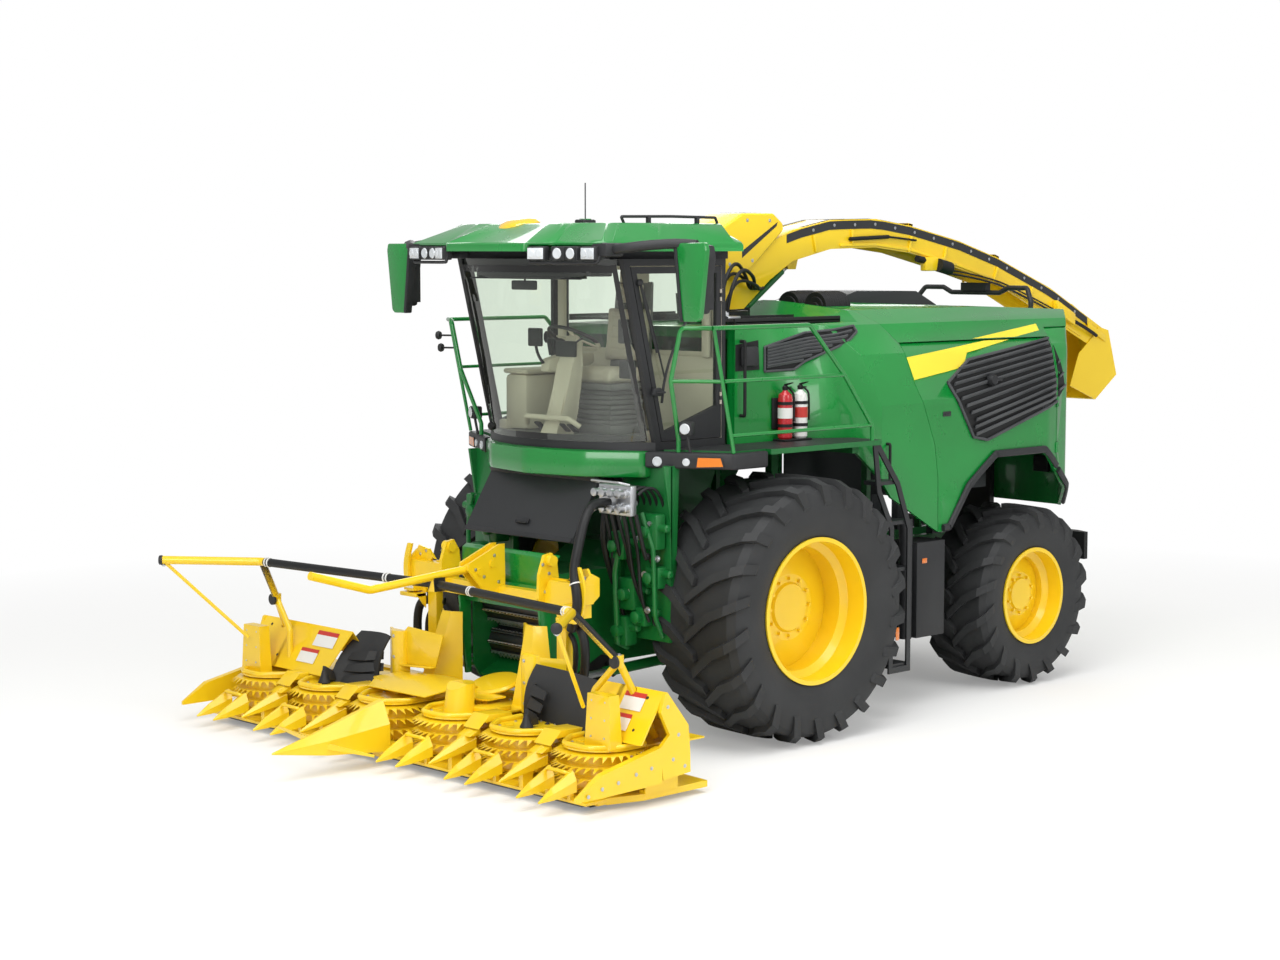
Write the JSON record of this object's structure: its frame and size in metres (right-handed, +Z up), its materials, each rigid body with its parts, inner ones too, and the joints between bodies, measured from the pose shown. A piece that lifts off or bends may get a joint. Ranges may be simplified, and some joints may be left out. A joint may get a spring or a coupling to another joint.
{
  "type": "forage harvester",
  "caption": "Self-propelled forage harvester with a rotary row-independent header, glazed cab, engine hood, swivelling spout and steered rear axle.",
  "frame": {"origin": "centre of the footprint box on the ground, with header points and spout tail included", "axes": "+X to the machine's left, -Y towards the header and the way it drives, +Z up"},
  "size_m": [4.6106, 9.635, 4.1699],
  "materials": {
    "tyre": "dusty matte rubber",
    "yellow_paint": "semi-gloss yellow paint",
    "green_paint": "gloss green paint",
    "steel": "bare ground steel",
    "black_paint": "satin black paint",
    "engine_grey": "painted casting",
    "black_plastic": "textured black plastic",
    "clear_glass": "clear cab glass",
    "cab_trim": "beige cab trim"
  },
  "bodies": {
    "chassis": {"main_frame": "green_paint", "body_frame": "green_paint", "front_axle": "green_paint", "rear_axle": "green_paint", "engine_block": "engine_grey", "cutterhead_housing": "green_paint", "front_body": "green_paint", "rear_hood": "green_paint", "rear_panel": "green_paint", "cab_frame": "black_paint", "cab_glass": "clear_glass", "cab_roof": "green_paint", "driver_seat": "cab_trim", "steering_column": "cab_trim", "nose_panel": "green_paint", "bumper": "black_plastic", "front_shield": "black_paint", "platforms": "green_paint", "handrails": "green_paint", "side_boxes": "black_plastic", "spout_cradle": "black_paint", "mirrors": "black_plastic"},
    "front_wheel_left": {"front_tyre_left": "tyre", "front_rim_left": "yellow_paint"},
    "front_wheel_right": {"front_tyre_right": "tyre", "front_rim_right": "yellow_paint"},
    "rear_wheel_left": {"rear_tyre_left": "tyre", "rear_rim_left": "yellow_paint"},
    "rear_wheel_right": {"rear_tyre_right": "tyre", "rear_rim_right": "yellow_paint"},
    "knuckle_left": {"knuckle_left": "green_paint"},
    "knuckle_right": {"knuckle_right": "green_paint"},
    "tie_rod": {"tie_rod": "steel"},
    "header": {"feed_housing": "green_paint", "coupling_frame": "yellow_paint", "header_frame": "yellow_paint", "drum_covers": "yellow_paint", "row_points": "yellow_paint", "end_shields": "yellow_paint", "crop_guide": "yellow_paint"},
    "upper_roll": {"upper_feed_roll": "steel"},
    "lower_roll": {"lower_feed_roll": "steel"},
    "drum_1": {"drum_1": "yellow_paint"},
    "drum_2": {"drum_2": "yellow_paint"},
    "drum_3": {"drum_3": "yellow_paint"},
    "drum_4": {"drum_4": "yellow_paint"},
    "drum_5": {"drum_5": "yellow_paint"},
    "drum_6": {"drum_6": "yellow_paint"},
    "lift_barrels": {"lift_ram_barrels": "black_paint"},
    "lift_rods": {"lift_ram_rods": "steel"},
    "turret": {"spout_turret": "yellow_paint"},
    "spout": {"spout_chute": "yellow_paint", "spout_hood": "yellow_paint"},
    "flap": {"spout_flap": "yellow_paint"},
    "spout_barrel": {"spout_ram_barrel": "black_paint"},
    "spout_rod": {"spout_ram_rod": "steel"},
    "cab_door": {"cab_door_left": "black_paint", "door_glass_left": "clear_glass"},
    "side_door_left": {"side_door_left": "green_paint"},
    "side_door_right": {"side_door_right": "green_paint"}
  },
  "joints": [
    {"name": "front_left_spin", "type": "hinge", "parent": "chassis", "child": "front_wheel_left", "pos_m": [1.32, -1.1175, 1], "axis": [1, 0, 0], "continuous": true},
    {"name": "front_right_spin", "type": "hinge", "parent": "chassis", "child": "front_wheel_right", "pos_m": [-1.32, -1.1175, 1], "axis": [1, 0, 0], "continuous": true},
    {"name": "steer_left", "type": "hinge", "parent": "chassis", "child": "knuckle_left", "pos_m": [0.6, 2.0075, 0.76], "axis": [0, 0, 1], "range_deg": [-30, 30]},
    {"name": "steer_right", "type": "hinge", "parent": "chassis", "child": "knuckle_right", "pos_m": [-0.6, 2.0075, 0.76], "axis": [0, 0, 1], "range_deg": [-30, 30]},
    {"name": "tie_rod_pivot", "type": "hinge", "parent": "knuckle_left", "child": "tie_rod", "pos_m": [0.6, 2.3375, 0.642], "axis": [0, 0, 1], "range_deg": [-30, 30]},
    {"name": "rear_left_spin", "type": "hinge", "parent": "knuckle_left", "child": "rear_wheel_left", "pos_m": [1.03, 2.0075, 0.76], "axis": [1, 0, 0], "continuous": true},
    {"name": "rear_right_spin", "type": "hinge", "parent": "knuckle_right", "child": "rear_wheel_right", "pos_m": [-1.03, 2.0075, 0.76], "axis": [1, 0, 0], "continuous": true},
    {"name": "header_lift", "type": "hinge", "parent": "chassis", "child": "header", "pos_m": [0, -1.4675, 1], "axis": [-1, 0, 0], "range_deg": [0, 12]},
    {"name": "lift_barrel_pivot", "type": "hinge", "parent": "chassis", "child": "lift_barrels", "pos_m": [0, -1.5175, 0.56], "axis": [-1, 0, 0], "range_deg": [0, 12.2]},
    {"name": "lift_rod_slide", "type": "slide", "parent": "lift_barrels", "child": "lift_rods", "axis": [0, -0.9993, -0.0363], "range_m": [0, 0.0935]},
    {"name": "upper_roll_spin", "type": "hinge", "parent": "header", "child": "upper_roll", "pos_m": [0, -2.4475, 0.985], "axis": [1, 0, 0], "continuous": true},
    {"name": "lower_roll_spin", "type": "hinge", "parent": "header", "child": "lower_roll", "pos_m": [0, -2.4175, 0.69], "axis": [1, 0, 0], "continuous": true},
    {"name": "drum_1_spin", "type": "hinge", "parent": "header", "child": "drum_1", "pos_m": [-1.875, -3.4675, 0.25], "axis": [0, 0, 1], "continuous": true},
    {"name": "drum_2_spin", "type": "hinge", "parent": "header", "child": "drum_2", "pos_m": [-1.125, -3.4675, 0.25], "axis": [0, 0, 1], "continuous": true},
    {"name": "drum_3_spin", "type": "hinge", "parent": "header", "child": "drum_3", "pos_m": [-0.375, -3.4675, 0.25], "axis": [0, 0, 1], "continuous": true},
    {"name": "drum_4_spin", "type": "hinge", "parent": "header", "child": "drum_4", "pos_m": [0.375, -3.4675, 0.25], "axis": [0, 0, 1], "continuous": true},
    {"name": "drum_5_spin", "type": "hinge", "parent": "header", "child": "drum_5", "pos_m": [1.125, -3.4675, 0.25], "axis": [0, 0, 1], "continuous": true},
    {"name": "drum_6_spin", "type": "hinge", "parent": "header", "child": "drum_6", "pos_m": [1.875, -3.4675, 0.25], "axis": [0, 0, 1], "continuous": true},
    {"name": "spout_swivel", "type": "hinge", "parent": "chassis", "child": "turret", "pos_m": [0, -0.4975, 3.14], "axis": [0, 0, 1], "range_deg": [-105, 105]},
    {"name": "spout_lift", "type": "hinge", "parent": "turret", "child": "spout", "pos_m": [0, -0.6975, 3.27], "axis": [1, 0, 0], "range_deg": [0, 30]},
    {"name": "spout_barrel_pivot", "type": "hinge", "parent": "turret", "child": "spout_barrel", "pos_m": [0, -0.1575, 3.17], "axis": [1, 0, 0], "range_deg": [0, 40.5]},
    {"name": "spout_rod_slide", "type": "slide", "parent": "spout_barrel", "child": "spout_rod", "axis": [0, 0.8249, 0.5652], "range_m": [0, 0.2504]},
    {"name": "flap_tilt", "type": "hinge", "parent": "spout", "child": "flap", "pos_m": [0, 4.5225, 2.89], "axis": [1, 0, 0], "range_deg": [0, 50]},
    {"name": "cab_door_hinge", "type": "hinge", "parent": "chassis", "child": "cab_door", "pos_m": [0.93, -1.3605, 2.9], "axis": [0, 0, 1], "range_deg": [0, 38]},
    {"name": "side_door_left_hinge", "type": "hinge", "parent": "chassis", "child": "side_door_left", "pos_m": [1.268, 2.3855, 2.2], "axis": [0, 0, 1], "range_deg": [0, 70]},
    {"name": "side_door_right_hinge", "type": "hinge", "parent": "chassis", "child": "side_door_right", "pos_m": [-1.268, 2.3855, 2.2], "axis": [0, 0, -1], "range_deg": [0, 70]}
  ],
  "couplings": [
    {"joint": "steer_right", "follows": "steer_left", "ratio": 1},
    {"joint": "tie_rod_pivot", "follows": "steer_left", "ratio": -1},
    {"joint": "lift_barrel_pivot", "follows": "header_lift", "ratio": 1.0118},
    {"joint": "lift_rod_slide", "follows": "header_lift", "m_per_rad": 0.4415},
    {"joint": "lower_roll_spin", "follows": "upper_roll_spin", "ratio": -1.25},
    {"joint": "spout_barrel_pivot", "follows": "spout_lift", "ratio": 1.3388},
    {"joint": "spout_rod_slide", "follows": "spout_lift", "m_per_rad": 0.4744},
    {"joint": "drum_2_spin", "follows": "drum_1_spin", "ratio": 1},
    {"joint": "drum_3_spin", "follows": "drum_1_spin", "ratio": 1},
    {"joint": "drum_4_spin", "follows": "drum_1_spin", "ratio": -1},
    {"joint": "drum_5_spin", "follows": "drum_1_spin", "ratio": -1},
    {"joint": "drum_6_spin", "follows": "drum_1_spin", "ratio": -1}
  ]
}
